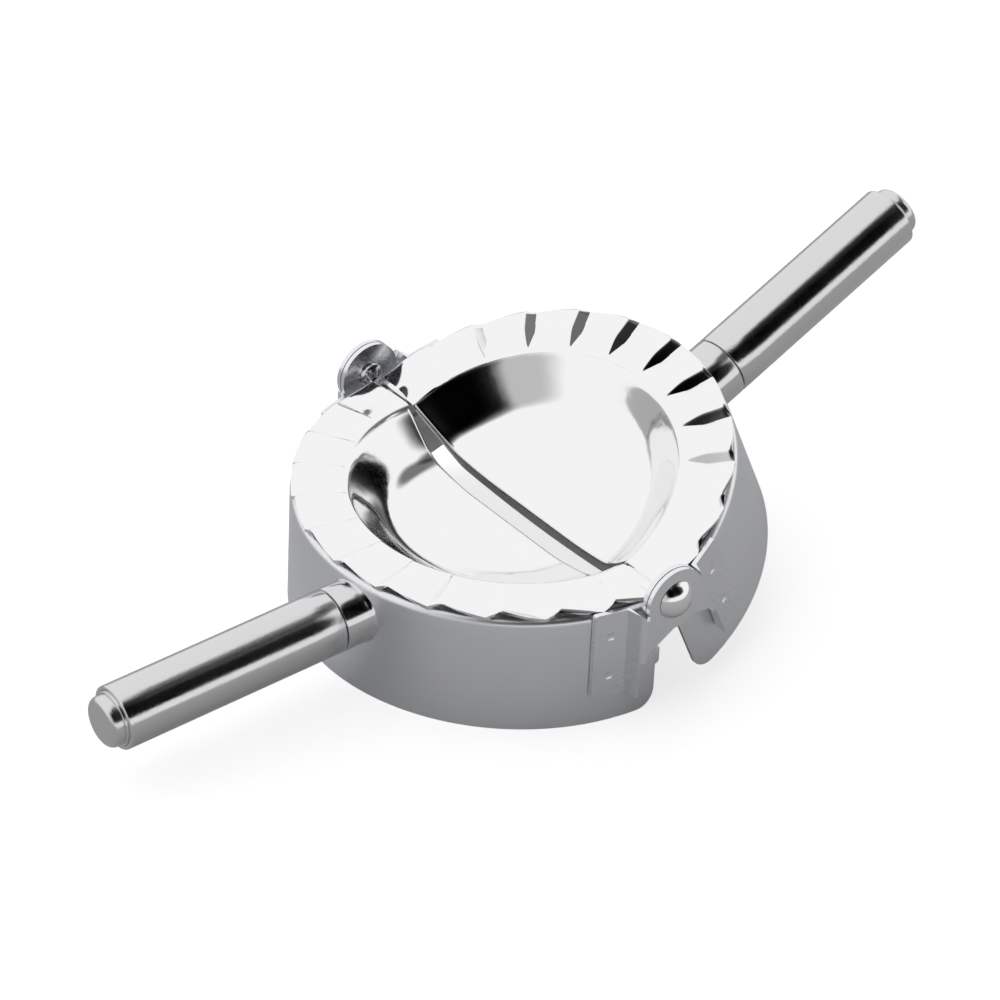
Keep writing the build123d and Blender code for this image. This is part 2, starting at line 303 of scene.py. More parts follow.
BOWL_ROWS = 44             # from the middle to the flange's end
LIP_ROWS = 8
PLEAT_ROWS = 26
CURL_ROWS = 8
RISER_COLUMNS = 5          # each half of a riser
CREST_COLUMNS = 7
SLOPE_COLUMNS = 8
FOLD_COLUMNS = 2           # each side of a crease
BEND_COLUMNS = 6           # round the turned-down edge
FLANGE_COLUMNS = 8
ROW_CROWDING = 1.5         # rows of the bowl crowd towards its mouth
PLATE_ROWS = BOWL_ROWS + LIP_ROWS + PLEAT_ROWS + CURL_ROWS
PLEAT_COLUMNS = 2 * RISER_COLUMNS + CREST_COLUMNS + SLOPE_COLUMNS + 2 * FOLD_COLUMNS
EDGE_COLUMNS = BEND_COLUMNS + FLANGE_COLUMNS
SEAM_TOLERANCE = 2e-7
COLUMN_MARGIN = 1e-4       # less than a column, more than a rounding error
VALLEY_SOFTNESS = 0.06     # share of the pleat's height rounded off at a crease
BEND_END = 0.2 * MM        # over which the split's bend runs out in the face
PLATE_EDGE = 0.13 * MM
PLATE_EDGE_ANGLE = radians(65)


def sized_tree(name, group):
    """A geometry tree with one named input for each size of a property group."""
    tree = bpy.data.node_groups.new(name, "GeometryNodeTree")
    tree.interface.new_socket(name="Geometry", in_out="OUTPUT", socket_type="NodeSocketGeometry")
    for key, kept in group.bl_rna.properties.items():
        if key in ("rna_type", "name"):
            continue
        kind = "NodeSocketInt" if kept.type == "INT" else "NodeSocketFloat"
        socket = tree.interface.new_socket(name=kept.name, in_out="INPUT", socket_type=kind)
        socket.description = kept.description
        socket.default_value = kept.default
    tree.interface.new_socket(
        name="Material", in_out="INPUT", socket_type="NodeSocketMaterial"
    )
    entry = tree.nodes.new("NodeGroupInput")
    sizes = {
        key: Term(tree, entry.outputs[kept.name])
        for key, kept in group.bl_rna.properties.items()
        if key not in ("rna_type", "name")
    }
    return tree, sizes, entry.outputs["Material"]


def bowl_level(r, s):
    """Height of the bowl's surface over the rim's middle level, at a radius."""
    slope = (s["depth"] - s["knee_depth"]) / (s["knee"] - s["floor"])
    wall = s["knee_depth"] / (s["mouth"] - s["knee"])
    apron = (r - s["floor"]) * slope - s["depth"]
    side = (r - s["mouth"]) * wall
    level = worked_out("SMOOTH_MAX", apron, 0 - s["depth"], s["floor_round"])
    level = worked_out("SMOOTH_MAX", level, side, s["knee_round"])
    return worked_out("SMOOTH_MIN", level, 0.0, s["lip_round"])


def row_radius(v, s):
    """Radius of a row of the grid: rows crowd at the lip and the curl."""
    row = v * PLATE_ROWS
    bowl = 1 - (1 - stretch(row, 0.0, float(BOWL_ROWS))) ** ROW_CROWDING
    lip = stretch(row, float(BOWL_ROWS), float(BOWL_ROWS + LIP_ROWS))
    pleat_end = PLATE_ROWS - CURL_ROWS
    pleat = stretch(row, float(BOWL_ROWS + LIP_ROWS), float(pleat_end))
    curl = stretch(row, float(pleat_end), float(PLATE_ROWS))
    reach = s["flange_reach"]
    band = s["rim_radius"] - s["curl"] - s["land_end"]
    radius = bowl * reach + lip * (s["land_end"] - reach) + pleat * band
    return radius + curl * s["curl"], curl


def pleat_shape(column, r, s):
    """Angle round the rim and level, from 0 to 1, at a column of the grid."""
    pitch = 2 * pi / s["pleats"]
    turn = column / PLEAT_COLUMNS
    index = worked_out("FLOOR", turn + COLUMN_MARGIN)
    place = (turn - index) * PLEAT_COLUMNS
    lean = index * pitch - pi / 2
    inset = stretch(lean, pitch * 1.5 - pi / 2, pitch * 2 - pi / 2, s["first_inset"],
                    s["crease_inset"])
    start = s["mouth"] + inset
    grown = stretch(r, start, start + s["crease_run"], smooth=True)
    riser = s["riser_tip"] + (s["riser"] - s["riser_tip"]) * grown
    half = riser / 2
    slope_end = pitch - half
    fold = s["valley_fold"] * (riser / s["riser"])
    edges = [0]
    runs = (
        (RISER_COLUMNS, half),
        (CREST_COLUMNS, s["crest"]),
        (SLOPE_COLUMNS, slope_end - fold - half - s["crest"]),
        (FOLD_COLUMNS, fold),
        (FOLD_COLUMNS, fold),
        (RISER_COLUMNS, half - fold),
    )
    away = None
    for columns, width in runs:
        edges.append(edges[-1] + columns)
        run = stretch(place, float(edges[-2]), float(edges[-1])) * width
        away = run if away is None else away + run
    rise = away / riser + 0.5
    fall = (slope_end - away) / (pitch - riser)
    next_rise = (away - slope_end) / riser
    level = worked_out("SMOOTH_MIN", rise, fall, s["crest_softness"])
    level = worked_out("SMOOTH_MAX", level, next_rise, VALLEY_SOFTNESS)
    return lean + away, level, grown


def pleated_plate_tree(group):
    """The upper face of half a plate, with its split edge turned down."""
    tree, s, material = sized_tree("Pleated plate", group)
    place = tree.nodes.new("GeometryNodeInputPosition")
    split = added(tree, "ShaderNodeSeparateXYZ", {"Vector": place.outputs[0]})
    u = Term(tree, split.outputs["X"]) + 0.5
    v = Term(tree, split.outputs["Y"]) + 0.5

    # the face, a grid of columns round the middle and rows outwards
    columns = s["pleats"] * (PLEAT_COLUMNS / 2)
    face = added(
        tree,
        "GeometryNodeMeshGrid",
        {"Size X": 1.0, "Size Y": 1.0, "Vertices X": columns + 1},
    )
    face.inputs["Vertices Y"].default_value = PLATE_ROWS + 1
    r, curl = row_radius(v, s)
    turn, level, grown = pleat_shape(u * columns, r, s)
    raised = level * grown
    bent = curl * curl * (s["valley_curl"] + (s["crest_curl"] - s["valley_curl"]) * raised)
    z = bowl_level(r, s) + grown * s["pleat_height"] * (level - 0.5) - bent
    out = r - curl * raised * s["crest_inset"]
    edge = s["gap"] + s["split_bend"] * stretch(
        r, s["flange_reach"], s["flange_reach"] + BEND_END, 1.0, 0.0
    )
    x = edge + out * worked_out("COSINE", turn) * (1 - edge / s["rim_radius"])
    y = out * worked_out("SINE", turn)
    spot = added(tree, "ShaderNodeCombineXYZ", {"X": x, "Y": y, "Z": z + s["rim_height"]})
    seam = worked_out("COMPARE", u, 0.0, COLUMN_MARGIN)
    seam = seam + worked_out("COMPARE", u, 1.0, COLUMN_MARGIN)
    seam = seam + worked_out("COMPARE", v, 0.0, COLUMN_MARGIN)
    face = marked(tree, face.outputs["Mesh"], seam)
    face = added(
        tree, "GeometryNodeSetPosition", {"Geometry": face, "Position": spot.outputs[0]}
    )

    # the flange, a grid of columns down the split edge and rows along it
    flange = added(tree, "GeometryNodeMeshGrid", {"Size X": 1.0, "Size Y": 1.0})
    flange.inputs["Vertices X"].default_value = EDGE_COLUMNS + 1
    flange.inputs["Vertices Y"].default_value = 2 * BOWL_ROWS + 1
    along = v * 2 - 1
    side = worked_out("ABSOLUTE", along)
    sign = worked_out("SIGN", along)
    r = (1 - (1 - side) ** ROW_CROWDING) * s["flange_reach"]
    z = bowl_level(r, s)
    middle = s["flange_depth"] - s["flange_knee_depth"]
    bottom = middle * (r / s["flange_knee"]) ** 2.0 - s["flange_depth"]
    rise = (s["flange_knee_depth"] - s["flange_end_depth"]) / (
        s["flange_reach"] - s["flange_knee"]
    )
    bottom = worked_out(
        "SMOOTH_MAX",
        bottom,
        (r - s["flange_knee"]) * rise - s["flange_knee_depth"],
        s["flange_round"],
    )
    column = u * EDGE_COLUMNS
    round_off = stretch(column, 0.0, float(BEND_COLUMNS), 0.0, pi / 2)
    down = stretch(column, float(BEND_COLUMNS), float(EDGE_COLUMNS))
    bend = s["split_bend"]
    x = s["gap"] + bend * (1 - worked_out("SINE", round_off))
    fallen = bend * (1 - worked_out("COSINE", round_off))
    z = z - fallen + down * (bottom - z + bend)
    spot = added(
        tree, "ShaderNodeCombineXYZ", {"X": x, "Y": r * sign, "Z": z + s["rim_height"]}
    )
    seam = worked_out("COMPARE", u, 0.0, COLUMN_MARGIN)
    flange = marked(tree, flange.outputs["Mesh"], seam)
    flange = added(
        tree, "GeometryNodeSetPosition", {"Geometry": flange, "Position": spot.outputs[0]}
    )

    joined = tree.nodes.new("GeometryNodeJoinGeometry")
    for part in (face, flange):
        tree.links.new(part.outputs["Geometry"], joined.inputs[0])
    seam = added(tree, "GeometryNodeInputNamedAttribute", {"Name": "seam"})
    seam.data_type = "BOOLEAN"
    merged = added(
        tree,
        "GeometryNodeMergeByDistance",
        {
            "Geometry": joined.outputs[0],
            "Selection": seam.outputs["Attribute"],
            "Distance": SEAM_TOLERANCE,
        },
    )
    upward = added(tree, "GeometryNodeFlipFaces", {"Mesh": merged.outputs[0]})
    finish_tree(tree, upward.outputs[0], material)
    return tree


def marked(tree, mesh, seam):
    node = added(tree, "GeometryNodeStoreNamedAttribute", domain="POINT")
    node.data_type = "BOOLEAN"
    plug_in(tree, node.inputs["Geometry"], mesh)
    plug_in(tree, node.inputs["Name"], "seam")
    plug_in(tree, node.inputs["Value"], seam)
    return node.outputs["Geometry"]


def finish_tree(tree, geometry, material):
    real = added(tree, "GeometryNodeRealizeInstances", {"Geometry": geometry})
    steel = added(
        tree,
        "GeometryNodeSetMaterial",
        {"Geometry": real.outputs[0], "Material": material},
    )
    leave = tree.nodes.new("NodeGroupOutput")
    tree.links.new(steel.outputs[0], leave.inputs["Geometry"])


def grown_mesh(name, tree, group, material):
    """The plain mesh that a tree gives with the sizes of a property group."""
    seed = bpy.data.objects.new(name, bpy.data.meshes.new(name))
    bpy.context.scene.collection.objects.link(seed)
    modifier = seed.modifiers.new(name, "NODES")
    modifier.node_group = tree
    kept = {p.name: getattr(group, key) for key, p in group.bl_rna.properties.items()
            if key not in ("rna_type", "name")}
    for socket in tree.interface.items_tree:
        if socket.in_out == "INPUT" and socket.name in kept:
            modifier[socket.identifier] = kept[socket.name]
        if socket.in_out == "INPUT" and socket.name == "Material":
            modifier[socket.identifier] = material
    mesh = evaluated_mesh(seed)
    bpy.data.objects.remove(seed)
    return mesh


def evaluated_mesh(piece):
    """A plain mesh of the piece with its modifiers."""
    bpy.context.view_layer.update()
    graph = bpy.context.evaluated_depsgraph_get()
    return bpy.data.meshes.new_from_object(piece.evaluated_get(graph), depsgraph=graph)


# ---- meshes ----

SMOOTH_ANGLE = radians(32)


def mesh_of(name, points, faces, material):
    mesh = bpy.data.meshes.new(name)
    mesh.from_pydata([Vector(p) for p in points], [], faces)
    mesh.materials.append(material)
    work = bmesh.new()
    work.from_mesh(mesh)
    bmesh.ops.remove_doubles(work, verts=work.verts, dist=SEAM_TOLERANCE)
    bmesh.ops.recalc_face_normals(work, faces=work.faces)
    work.to_mesh(mesh)
    work.free()
    return mesh


def dressed(mesh, edge=0.0, sheet=0.0, limit=radians(50), flat_faces=False):
    """The mesh given a sheet's thickness and rounded edges, as a plain mesh."""
    for polygon in mesh.polygons:
        polygon.use_smooth = True
    piece = bpy.data.objects.new(mesh.name, mesh)
    bpy.context.scene.collection.objects.link(piece)
    if sheet:
        wall = piece.modifiers.new("sheet", "SOLIDIFY")
        wall.thickness = sheet
        wall.offset = -1
        wall.use_even_offset = True
        wall.use_quality_normals = True
    if edge:
        bevel = piece.modifiers.new("edge", "BEVEL")
        bevel.width = edge
        bevel.segments = 3
        bevel.limit_method = "ANGLE"
        bevel.angle_limit = limit
        bevel.use_clamp_overlap = True
    if flat_faces:
        mesh.set_sharp_from_angle(angle=SMOOTH_ANGLE)
        shading = piece.modifiers.new("shading", "WEIGHTED_NORMAL")
        shading.keep_sharp = True
        shading.weight = 100
    made = evaluated_mesh(piece)
    bpy.data.objects.remove(piece)
    for polygon in made.polygons:
        polygon.use_smooth = True
    if not flat_faces:
        made.set_sharp_from_angle(angle=SMOOTH_ANGLE)
    return made


def half_place(half):
    """Places a half that is made open towards +X as the left or the right half."""
    hinge = bpy.context.scene.press_hinge
    to_frame = Matrix.Translation((hinge.pin_x, 0, 0))
    if half == "left":
        return to_frame @ Matrix.Rotation(pi, 4, "Z")
    pin = Matrix.Translation((0, 0, hinge.pin_height))
    fold = Matrix.Rotation(-hinge.open_angle, 4, "Y")
    return to_frame @ pin @ fold @ pin.inverted()


def placed(name, mesh, place, body, node):
    """A piece of the press: its mesh in place, riding on a body for a CAD node."""
    mesh = mesh.copy()
    mesh.name = name
    mesh.transform(place)
    piece = bpy.data.objects.new(name, mesh)
    bpy.context.scene.collection.objects.link(piece)
    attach(piece, body)
    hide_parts(node)
    return piece


def revolved(name, profile, origin, axis, material, segments=96):
    """A solid turned about an axis. The profile is a closed line of (along, radius)."""
    side = axis.orthogonal().normalized()
    up = axis.cross(side)
    points = []
    for step in range(segments):
        turn = 2 * pi * step / segments
        out = side * cos(turn) + up * sin(turn)
        points += [origin + axis * along + out * radius for along, radius in profile]
    return mesh_of(name, points, ring_faces(segments, len(profile), True), material)


def ring_faces(columns, rows, closed):
    """Quads of columns that each hold a closed line of points."""
    faces = []
    for column in range(columns if closed else columns - 1):
        first = column * rows
        second = (column + 1) % columns * rows
        for row in range(rows):
            nearby = (row + 1) % rows
            faces.append((first + row, first + nearby, second + nearby, second + row))
    return faces


def arc(centre, radius, start, end, steps=6):
    """Points of an arc in the plane of a profile, angles in degrees."""
    turns = [radians(start + (end - start) * step / steps) for step in range(steps + 1)]
    return [(centre[0] + radius * cos(t), centre[1] + radius * sin(t)) for t in turns]


# ---- skirt ----

SKIRT_COLUMNS = 180
SKIRT_EDGE = 0.12 * MM
CORNER_ROWS = 8
TALL_ROWS = 6


def skirt_lines(s):
    """Outer and inner line of the skirt's section, as (radius, height)."""
    corner = [s.corner * (row / CORNER_ROWS) ** 2 for row in range(CORNER_ROWS + 1)]
    straight = s.top - s.bend - s.corner
    heights = corner + [s.corner + straight * row / TALL_ROWS for row in range(1, TALL_ROWS)]
    centre = (s.radius - s.bend, s.top - s.bend)
    outer = [(s.radius, z) for z in heights] + arc(centre, s.bend, 0, 90, 8)
    outer.append((centre[0] - s.curl, s.top))
    inner = [(s.radius - s.wall, z) for z in heights] + arc(centre, s.bend - s.wall, 0, 90, 8)
    inner.append((centre[0] - s.curl, s.top - s.wall))
    return outer, inner


def skirt_end(z, s):
    """How far from the split plane the skirt ends, at a height."""
    under = max(s.corner - z, 0.0)
    return s.end_gap + s.corner - sqrt(max(s.corner**2 - under**2, 0.0))


def skirt_mesh(s, material):
    outer, inner = skirt_lines(s)
    loop = outer + inner[::-1]
    points = []
    for column in range(SKIRT_COLUMNS + 1):
        part = 2 * column / SKIRT_COLUMNS - 1
        for r, z in loop:
            turn = part * acos(skirt_end(z, s) / r)
            points.append((r * cos(turn), r * sin(turn), z))
    faces = ring_faces(SKIRT_COLUMNS + 1, len(loop), False)
    for first in (0, SKIRT_COLUMNS * len(loop)):
        for row in range(len(outer) - 1):
            opposite = len(loop) - 1 - row
            faces.append(
                (first + row, first + row + 1, first + opposite - 1, first + opposite)
            )
    return dressed(mesh_of("skirt", points, faces, material), edge=SKIRT_EDGE)


def tongue_mesh(s, material):
    """The locating tongue, a strip with rounded corners inside one end of the wall."""
    face = s.radius - s.wall - s.tongue_gap
    low = (-s.tongue_reach, s.tongue_bottom)
    high = (s.tongue_length, s.tongue_bottom + s.tongue_height)
    corner = s.tongue_height / 5
    line = arc((low[0] + corner, low[1] + corner), corner, 180, 270)
    line += arc((high[0] - corner, low[1] + corner), corner, 270, 360)
    line += arc((high[0] - corner, high[1] - corner), corner, 0, 90)
    line += arc((low[0] + corner, high[1] - corner), corner, 90, 180)
    count = len(line)
    points = [(x, y, z) for y in (face - s.tongue_wall, face) for x, z in line]
    faces = [(i, (i + 1) % count, (i + 1) % count + count, i + count) for i in range(count)]
    faces += [tuple(range(count)), tuple(range(count, 2 * count))]
    return dressed(mesh_of("tongue", points, faces, material), edge=SKIRT_EDGE)


def joined_mesh(first, second):
    work = bmesh.new()
    work.from_mesh(first)
    work.from_mesh(second)
    work.to_mesh(first)
    work.free()
    return first


# ---- handles ----

CHAMFER = 0.1 * MM         # on the small round edges of handles and rivets
FERRULE_TURNS = 128
FLARE_ROWS = 6


def handle_axis(h, side):
    """Root and direction of the handle of a half; side is 1 where it lies behind."""
    root_y = side * h.offset
    root_x = sqrt(bpy.context.scene.press_skirt.radius**2 - root_y**2)
    heading = -side * h.skew
    axis = Vector(
        (cos(h.droop) * cos(heading), cos(h.droop) * sin(heading), -sin(h.droop))
    )
    return Vector((root_x, root_y, h.height)), axis


def meets_skirt(start, axis, radius):
    """How far along the axis a line from start leaves the skirt's cylinder."""
    a = axis.x**2 + axis.y**2
    b = start.x * axis.x + start.y * axis.y
    c = start.x**2 + start.y**2 - radius**2
    return (-b + sqrt(b * b - a * c)) / a


def ferrule_mesh(h, side, material):
    root, axis = handle_axis(h, side)
    across = axis.cross(Vector((0, 0, 1))).normalized()
    up = across.cross(axis)
    bore = h.radius - h.wall - h.fit_gap
    points = []
    for step in range(FERRULE_TURNS):
        turn = 2 * pi * step / FERRULE_TURNS
        out = across * cos(turn) + up * sin(turn)
        foot = meets_skirt(root + out * h.radius, axis, h.skirt_face)
        for row in range(FLARE_ROWS + 1):
            part = row / FLARE_ROWS
            spread = h.flare * (1 - sqrt(1 - (1 - part) ** 2)) if row else h.flare
            wide = root + out * (h.radius + spread)
            start = meets_skirt(wide, axis, h.skirt_face)
            along = start + (foot + h.flare_run - start) * part
            points.append(wide + axis * along)
        end = h.ferrule
        tail = [(end - h.joint_round, h.radius), (end - CHAMFER, h.radius - CHAMFER)]
        tail += [(end, h.radius - h.joint_round), (end, bore)]
        tail += [(end + h.spigot, bore), (end + h.spigot, h.ferrule_bore)]
        points += [root + axis * along + out * radius for along, radius in tail]
        inside = root + out * h.ferrule_bore
        points.append(inside + axis * meets_skirt(inside, axis, h.skirt_face))
    rows = len(points) // FERRULE_TURNS
    return dressed(
        mesh_of("ferrule", points, ring_faces(FERRULE_TURNS, rows, True), material)
    )


def tube_profile(h):
    start = h.ferrule + h.joint_gap
    bore = h.radius - h.wall
    line = [(start, bore), (start, h.radius - h.joint_round)]
    line += [(start + CHAMFER, h.radius - CHAMFER), (start + h.joint_round, h.radius)]
    line += [(start + (h.end - start) * part / 8, h.radius) for part in range(1, 8)]
    centre = (h.end - h.end_round, h.radius - h.end_round)
    return line + arc(centre, h.end_round, 90, 0) + [(h.end, bore)]


def plug_profile(h):
    body = h.radius - h.wall - h.fit_gap
    collar = h.end + h.collar
    end = h.end + h.plug_length
    soft = 0.2 * MM
    line = [(h.end - h.plug_depth, 0.0), (h.end - h.plug_depth, body)]
    line += arc((collar - soft, body - soft), soft, 90, 0, 4)
    line += [(collar, h.plug)]
    line += arc((end - h.plug_round, h.plug - h.plug_round), h.plug_round, 90, 0, 10)
    return line + [(end, 0.0)]


# ---- rivets and brackets ----

def rivet_profile(h):
    """Along the rivet from the middle of the press outwards, and the radius."""
    head = h.outer_face + h.ear_wall + h.head_gap
    tail = h.inner_face - h.head_gap
    end = tail - h.tail_height
    ball = (h.head**2 + h.dome**2) / (2 * h.dome)
    open_by = asin(h.head / ball) * 180 / pi
    lip = 0.25 * MM
    line = [(end + h.tail_bore_depth, 0.0), (end + h.tail_bore_depth, h.tail_bore)]
    line += [(end + lip, h.tail_bore), (end, h.tail_bore + lip)]
    line += [(end, h.tail - h.tail_taper), (end + h.tail_taper * 0.3, h.tail - CHAMFER)]
    line += [(end + h.tail_taper, h.tail), (tail, h.tail), (tail, h.shank), (head, h.shank)]
    line += [(head, h.head - 0.15 * MM)]
    line += arc((head + h.dome - ball, 0.0), ball, open_by, 0, 20)
    return line


BRACKET_EDGE_ANGLE = radians(72)
SAME_FACE_ANGLE = radians(1)


def bracket_mesh(node, edge, material):
    """A copy of a packed bracket with its edges rounded."""
    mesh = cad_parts[node].data.copy()
    mesh.materials.clear()
    mesh.materials.append(material)
    work = bmesh.new()
    work.from_mesh(mesh)
    bmesh.ops.remove_doubles(work, verts=work.verts, dist=1e-6)
    bmesh.ops.dissolve_limit(
        work, angle_limit=SAME_FACE_ANGLE, verts=work.verts, edges=work.edges
    )
    work.to_mesh(mesh)
    work.free()
    return dressed(mesh, edge=edge, limit=BRACKET_EDGE_ANGLE, flat_faces=True)


# ---- materials ----

PATCHES_PER_METRE = 90.0   # scale of the cloudy change in shine
GRAIN_SHARE = 0.6          # of the change in shine; the rest is cloudy
SHINE_RANGE = (0.35, 0.65)
GRAIN_ON_WAVES = 0.04      # height of the grain, where the waves are 1


def new_material(name):
    material = bpy.data.materials.new(name)
    material.use_nodes = True
    tree = material.node_tree
    return material, tree, tree.nodes["Principled BSDF"]


def noise(tree, scale, detail=3.0, roughness=0.5, squeeze=None):
    """A noise pattern on the piece's own Object coordinates, in metres."""
    where = tree.nodes.new("ShaderNodeTexCoord").outputs["Object"]
    if squeeze:
        mapped = added(tree, "ShaderNodeMapping", {"Vector": where, "Scale": squeeze})
        where = mapped.outputs[0]
    node = added(
        tree,
        "ShaderNodeTexNoise",
        {"Vector": where, "Scale": scale, "Detail": detail, "Roughness": roughness},
    )
    return Term(tree, node.outputs["Fac"])


def bumped(tree, shader, height, strength, distance):
    bump = added(
        tree, "ShaderNodeBump", {"Height": height, "Strength": strength, "Distance": distance}
    )
    tree.links.new(bump.outputs[0], shader.inputs["Normal"])


def steel(name, colour, roughness, spread, grain, strength, depth, squeeze=None,
          waves=None):
    """A steel with roughness that varies, fine grain and, if asked, slow waves."""
    material, tree, shader = new_material(name)
    shader.inputs["Base Color"].default_value = (*colour, 1)
    shader.inputs["Metallic"].default_value = 1
    fine = noise(tree, grain, 4.0, 0.6, squeeze)
    patches = noise(tree, PATCHES_PER_METRE, 3.0)
    shine = stretch(fine * GRAIN_SHARE + patches * (1 - GRAIN_SHARE), *SHINE_RANGE,
                    roughness - spread, roughness + spread)
    plug_in(tree, shader.inputs["Roughness"], shine)
    height = fine
    if waves:
        height = fine * GRAIN_ON_WAVES + noise(tree, waves, 2.0)
    bumped(tree, shader, height, strength, depth)
    return material


def polished_plate_steel(colour):
    return steel("polished pressed steel", colour, roughness=0.07, spread=0.03,
                 grain=900.0, strength=0.12, depth=0.3 * MM, waves=140.0)


def satin_skirt_steel(colour):
    return steel("satin skirt steel", colour, roughness=0.34, spread=0.05,
                 grain=1500.0, strength=0.1, depth=0.05 * MM, squeeze=(1, 1, 0.08))


def satin_bracket_steel(colour):
    return steel("satin bracket steel", colour, roughness=0.24, spread=0.05,
                 grain=1200.0, strength=0.15, depth=0.05 * MM)


def rivet_steel(colour):
    return steel("rivet steel", colour, roughness=0.14, spread=0.04,
                 grain=800.0, strength=0.15, depth=0.05 * MM)


def ferrule_steel(colour):
    return steel("polished ferrule steel", colour, roughness=0.12, spread=0.03,
                 grain=900.0, strength=0.1, depth=0.05 * MM)


def tube_steel(colour):
    return steel("brushed tube steel", colour, roughness=0.14, spread=0.05,
                 grain=2600.0, strength=0.3, depth=0.06 * MM)


def plug_steel(colour):
    return steel("end plug steel", colour, roughness=0.22, spread=0.05,
                 grain=1500.0, strength=0.2, depth=0.05 * MM)


# ---- operators ----

class PRESS_OT_plates(bpy.types.Operator):
    """Make the two pleated plates with their half bowls and split flanges"""

    bl_idname = "press.plates"
    bl_label = "Pleated plates"

    def execute(self, context):
        sizes = context.scene.press_plate
        material = polished_plate_steel(context.scene.press_look.steel)
        tree = pleated_plate_tree(sizes)
        mesh = grown_mesh("pleated plate", tree, sizes, material)
        mesh = dressed(mesh, sheet=sizes.sheet, edge=PLATE_EDGE, limit=PLATE_EDGE_ANGLE)
        for half in HALVES:
            placed(f"{half}_plate_steel", mesh, half_place(half), f"{half}_half",
                   f"{half}_pleated_plate")
        return {"FINISHED"}


class PRESS_OT_skirts(bpy.types.Operator):
    """Make the two half-ring skirts with their locating tongues"""

    bl_idname = "press.skirts"
    bl_label = "Skirts"

    def execute(self, context):
        sizes = context.scene.press_skirt
        material = satin_skirt_steel(context.scene.press_look.satin)
        mesh = joined_mesh(skirt_mesh(sizes, material), tongue_mesh(sizes, material))
        for half in HALVES:
            placed(f"{half}_skirt_steel", mesh, half_place(half), f"{half}_half",
                   f"{half}_skirt")
        return {"FINISHED"}


class PRESS_OT_handles(bpy.types.Operator):
    """Make the ferrules, the handle tubes and their end plugs"""

    bl_idname = "press.handles"
    bl_label = "Handles"

    def execute(self, context):
        sizes = context.scene.press_handle
        colour = context.scene.press_look.brushed
        ferrule = ferrule_steel(colour)
        tube = tube_steel(colour)
        plug = plug_steel(colour)
        for half, side in zip(HALVES, (1, -1)):
            root, axis = handle_axis(sizes, side)
            pieces = {
                "handle_ferrule": ferrule_mesh(sizes, side, ferrule),
                "handle_tube": dressed(
                    revolved("tube", tube_profile(sizes), root, axis, tube)
                ),
                "end_plug": dressed(
                    revolved("plug", plug_profile(sizes), root, axis, plug)
                ),
            }
            for piece, mesh in pieces.items():
                placed(f"{half}_{piece}_steel", mesh, half_place(half), f"{half}_half",
                       f"{half}_{piece}")
        return {"FINISHED"}


class PRESS_OT_hinges(bpy.types.Operator):
    """Make the four hinge brackets and the two rivets"""

    bl_idname = "press.hinges"
    bl_label = "Hinges"

    def execute(self, context):
        sizes = context.scene.press_hinge
        material = satin_bracket_steel(context.scene.press_look.satin)
        for half in HALVES:
            for end in ("front", "rear"):
                node = f"{half}_{end}_bracket"
                mesh = bracket_mesh(node, sizes.edge, material)
                placed(f"{node}_steel", mesh, Matrix.Identity(4), f"{half}_half", node)
        origin = Vector((sizes.pin_x, 0, sizes.pin_height))
        steel_look = rivet_steel(context.scene.press_look.steel)
        for end, out in (("front", -1), ("rear", 1)):
            mesh = dressed(
                revolved("rivet", rivet_profile(sizes), origin, Vector((0, out, 0)),
                         steel_look, 64)
            )
            placed(f"{end}_rivet_steel", mesh, Matrix.Identity(4), "left_half",
                   f"{end}_rivet")
        return {"FINISHED"}


# ---- stage ----

CAMERA_TURN = -40.695      # degrees round the press
CAMERA_RISE = 35.230       # degrees above the table
CAMERA_ROLL = 2.766
CAMERA_DISTANCE = 1107.39 * MM
CAMERA_AIM = (6.258 * MM, 10.521 * MM, 15.0 * MM)
SENSOR = 36.0
FOCAL = 196.749

FLOOR_HALF = 3.0
FLOOR_ROUGHNESS = 0.9
FLOOR_SPECULAR = 0.1
SKY_STRENGTH = 1.2
FLOOR_GLOW = 0.7           # added where the camera sees the floor
HORIZON = (0.30, 0.37)     # the dark wall ends above a bright strip along the floor

# directions that are dark in the studio: x, y, z, the inner and outer half width in
# degrees, how dark, and whether the bright strip along the floor cuts it off
DARK_AREAS = (
    (-0.15, -0.83, 0.53, 22, 42, 0.985, True),
    (0.36, -0.72, 0.59, 14, 26, 0.97, True),
    (0.12, -0.46, 0.88, 11, 21, 0.97, False),
    (-0.46, -0.47, 0.75, 10, 22, 0.80, False),
    (-0.80, -0.45, 0.40, 12, 30, 0.45, False),
    (-0.42, -0.66, 0.62, 14, 26, 0.92, False),
    (0.45, -0.20, 0.87, 8, 16, 0.84, False),
    (0.66, 0.03, 0.75, 8, 17, 0.80, False),
)


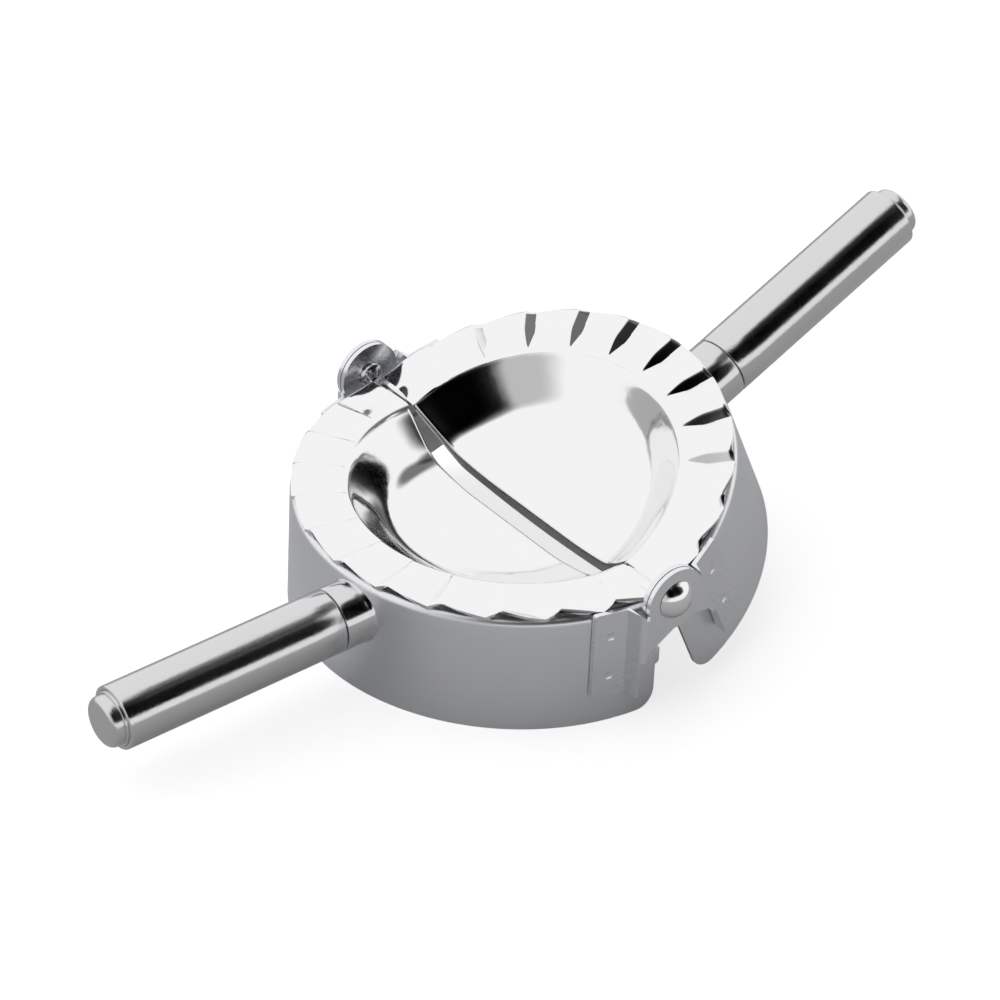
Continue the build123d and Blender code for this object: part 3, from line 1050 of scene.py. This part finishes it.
def studio_world():
    world = bpy.data.worlds.new("studio")
    world.use_nodes = True
    tree = world.node_tree
    tree.nodes.clear()
    direction = tree.nodes.new("ShaderNodeTexCoord").outputs["Generated"]
    parts = added(tree, "ShaderNodeSeparateXYZ", {"Vector": direction})
    over_strip = stretch(Term(tree, parts.outputs["Z"]), *HORIZON, smooth=True)
    light = None
    for x, y, z, inner, outer, depth, cut in DARK_AREAS:
        centre = Vector((x, y, z)).normalized()
        dot = added(tree, "ShaderNodeVectorMath", operation="DOT_PRODUCT")
        tree.links.new(direction, dot.inputs[0])
        dot.inputs[1].default_value = centre
        near = Term(tree, dot.outputs["Value"])
        dark = stretch(near, cos(radians(outer)), cos(radians(inner)), 0.0, depth, True)
        shade = 1 - (dark * over_strip if cut else dark)
        light = shade if light is None else light * shade
    camera_ray = tree.nodes.new("ShaderNodeLightPath").outputs["Is Camera Ray"]
    seen = Term(tree, camera_ray)
    strength = light * SKY_STRENGTH * (1 - seen) + seen
    background = added(tree, "ShaderNodeBackground", {"Strength": strength})
    output = tree.nodes.new("ShaderNodeOutputWorld")
    tree.links.new(background.outputs[0], output.inputs[0])
    return world


def studio_floor(colour):
    mesh = bpy.data.meshes.new("floor")
    half = FLOOR_HALF
    corners = [(-half, -half, 0), (half, -half, 0), (half, half, 0), (-half, half, 0)]
    mesh.from_pydata(corners, [], [(0, 1, 2, 3)])
    material, tree, shader = new_material("studio floor")
    shader.inputs["Base Color"].default_value = (*colour, 1)
    shader.inputs["Roughness"].default_value = FLOOR_ROUGHNESS
    shader.inputs["Specular IOR Level"].default_value = FLOOR_SPECULAR
    shader.inputs["Emission Color"].default_value = (1, 1, 1, 1)
    seen = Term(tree, tree.nodes.new("ShaderNodeLightPath").outputs["Is Camera Ray"])
    plug_in(tree, shader.inputs["Emission Strength"], seen * FLOOR_GLOW)
    mesh.materials.append(material)
    floor = bpy.data.objects.new("floor", mesh)
    bpy.context.scene.collection.objects.link(floor)


def studio_camera():
    turn, rise, roll = (radians(a) for a in (CAMERA_TURN, CAMERA_RISE, CAMERA_ROLL))
    ahead = Vector((-sin(turn) * cos(rise), cos(turn) * cos(rise), -sin(rise)))
    right = ahead.cross(Vector((0, 0, 1))).normalized()
    up = right.cross(ahead)
    across = right * cos(roll) + up * sin(roll)
    upright = up * cos(roll) - right * sin(roll)
    data = bpy.data.cameras.new("camera")
    data.sensor_width = SENSOR
    data.lens = FOCAL
    data.clip_start = 0.01
    data.clip_end = 20
    camera = bpy.data.objects.new("camera", data)
    bpy.context.scene.collection.objects.link(camera)
    place = Matrix((across, upright, -ahead)).transposed().to_4x4()
    place.translation = Vector(CAMERA_AIM) - ahead * CAMERA_DISTANCE
    camera.matrix_world = place
    bpy.context.scene.camera = camera


class PRESS_OT_stage(bpy.types.Operator):
    """Set the pale floor, the studio light and the camera"""

    bl_idname = "press.stage"
    bl_label = "Studio"

    def execute(self, context):
        scene = context.scene
        scene.world = studio_world()
        studio_floor(scene.press_look.floor)
        studio_camera()
        scene.view_settings.view_transform = "Standard"
        return {"FINISHED"}


OPERATORS = (
    PRESS_OT_plates,
    PRESS_OT_skirts,
    PRESS_OT_handles,
    PRESS_OT_hinges,
    PRESS_OT_stage,
)


class PRESS_PT_panel(bpy.types.Panel):
    """List the operators that make the press, and its sizes"""

    bl_label = "Press"
    bl_idname = "PRESS_PT_panel"
    bl_space_type = "VIEW_3D"
    bl_region_type = "UI"
    bl_category = "Press"

    def draw(self, context):
        for operator in OPERATORS:
            self.layout.operator(operator.bl_idname)
        for name in SIZES:
            group = getattr(context.scene, name)
            box = self.layout.box()
            for key in group.bl_rna.properties.keys():
                if key not in ("rna_type", "name"):
                    box.prop(group, key)


CLASSES = (*SIZES.values(), *OPERATORS, PRESS_PT_panel)


def register():
    for made in CLASSES:
        bpy.utils.register_class(made)
    for name, group in SIZES.items():
        setattr(bpy.types.Scene, name, PointerProperty(type=group))


def unregister():
    for name in SIZES:
        delattr(bpy.types.Scene, name)
    for made in reversed(CLASSES):
        bpy.utils.unregister_class(made)


def main():
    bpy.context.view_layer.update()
    register()
    for operator in OPERATORS:
        getattr(bpy.ops.press, operator.bl_idname.split(".")[1])()


if __name__ == "__main__":
    main()
